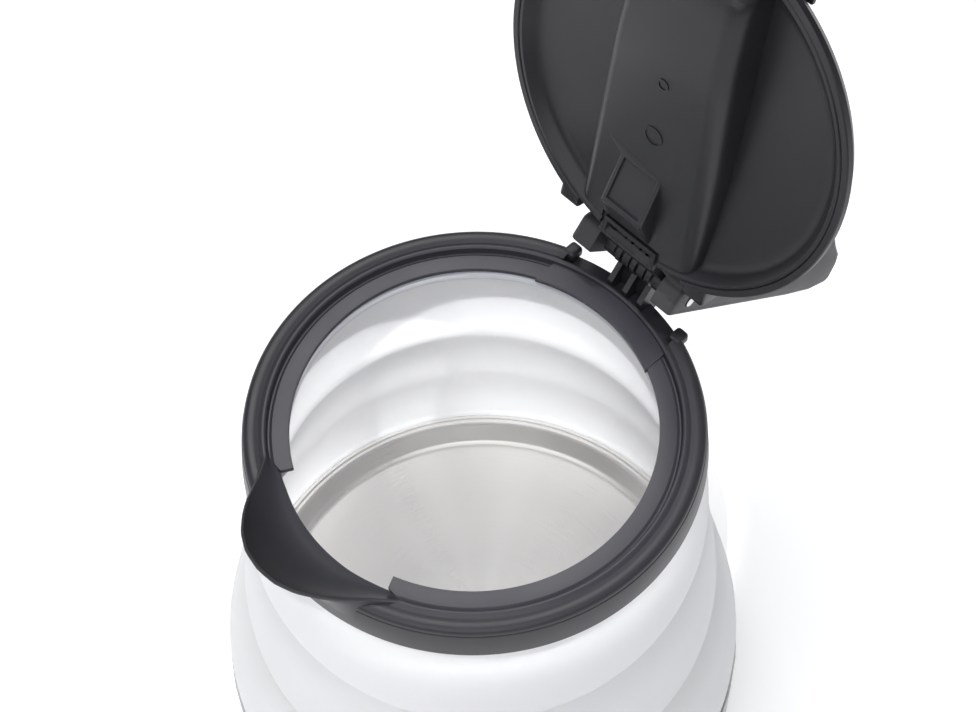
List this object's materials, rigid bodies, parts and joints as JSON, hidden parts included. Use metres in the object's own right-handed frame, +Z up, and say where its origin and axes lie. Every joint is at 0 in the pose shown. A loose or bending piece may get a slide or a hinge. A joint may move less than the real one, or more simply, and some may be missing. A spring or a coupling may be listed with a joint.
{
  "type": "collapsible kettle",
  "caption": "Collapsible electric travel kettle: folding silicone body on a steel-banded heating base, black collar with a spout, hinged lid and swing-out handle.",
  "frame": {"origin": "on the vertical axis of the kettle's round body, at the level of the table under its rubber feet, 1.8 mm below the flat underside of the base", "axes": "+Z up, +X towards the handle and the hinge, -X towards the spout, -Y towards the switch"},
  "size_m": [0.2082, 0.1596, 0.2839],
  "materials": {
    "black_plastic": "satin black",
    "dark_plastic": "matte dark grey",
    "cuff_plastic": "satin pale grey",
    "handle_plastic": "fine matte grain",
    "white_silicone": "soft matte white",
    "grey_rubber": "matte",
    "band_steel": "brushed around the rim",
    "plate_steel": "turned and brushed in circles",
    "pin_steel": "bright",
    "cast_aluminium": "as cast",
    "element_sheath": "dull",
    "brass": "bright",
    "phenolic": "moulded brown",
    "ceramic": "matte",
    "wire_insulation": "glossy sleeve",
    "amber_lens": "polished amber",
    "lamp_glass": "clear"
  },
  "bodies": {
    "base": {"base_shell": "black_plastic", "base_band": "band_steel", "base_cover": "dark_plastic", "foot_1": "grey_rubber", "foot_2": "grey_rubber", "foot_3": "grey_rubber", "foot_4": "grey_rubber", "base_screw_1": "pin_steel", "base_screw_2": "pin_steel", "base_screw_3": "pin_steel", "base_screw_4": "pin_steel", "heating_plate": "plate_steel", "plate_seal": "grey_rubber", "plate_nut_1": "pin_steel", "plate_nut_2": "pin_steel", "plate_nut_3": "pin_steel", "heat_spreader": "cast_aluminium", "heating_element": "element_sheath", "element_terminal_1": "brass", "element_terminal_2": "brass", "thermostat_block": "phenolic", "thermostat_disc_1": "pin_steel", "thermostat_disc_2": "pin_steel", "thermal_fuse": "ceramic", "inlet_socket": "dark_plastic", "inlet_pin_1": "brass", "inlet_pin_2": "brass", "inlet_pin_3": "brass", "lead_wire_1": "wire_insulation", "lead_wire_2": "wire_insulation", "lead_wire_3": "wire_insulation", "lead_wire_4": "wire_insulation", "switch_block": "phenolic", "switch_pin": "pin_steel", "indicator_lens": "amber_lens", "indicator_lamp": "lamp_glass", "silicone_body": "white_silicone"},
    "lever": {"switch_lever": "black_plastic"},
    "collar": {"collar": "black_plastic", "clamp_ring": "cuff_plastic", "hinge_pin": "pin_steel"},
    "lid": {"lid_cover": "black_plastic", "lid_liner": "dark_plastic"},
    "handle": {"handle_shell": "handle_plastic", "handle_cover": "handle_plastic", "handle_screw_1": "pin_steel", "handle_screw_2": "pin_steel"}
  },
  "joints": [
    {"name": "collapse", "type": "slide", "parent": "base", "child": "collar", "axis": [0, 0, 1], "range_m": [-0.065, 0], "deforming": ["silicone_body"]},
    {"name": "lid_hinge", "type": "hinge", "parent": "collar", "child": "lid", "pos_m": [0.0606, 0, 0.1583], "axis": [0, -1, 0], "range_deg": [0, 105]},
    {"name": "handle_hinge", "type": "hinge", "parent": "collar", "child": "handle", "pos_m": [0.0606, 0, 0.1583], "axis": [0, -1, 0], "range_deg": [0, 117]},
    {"name": "switch_hinge", "type": "hinge", "parent": "base", "child": "lever", "pos_m": [0, -0.068, 0.015], "axis": [1, 0, 0], "range_deg": [0, 16]}
  ]
}
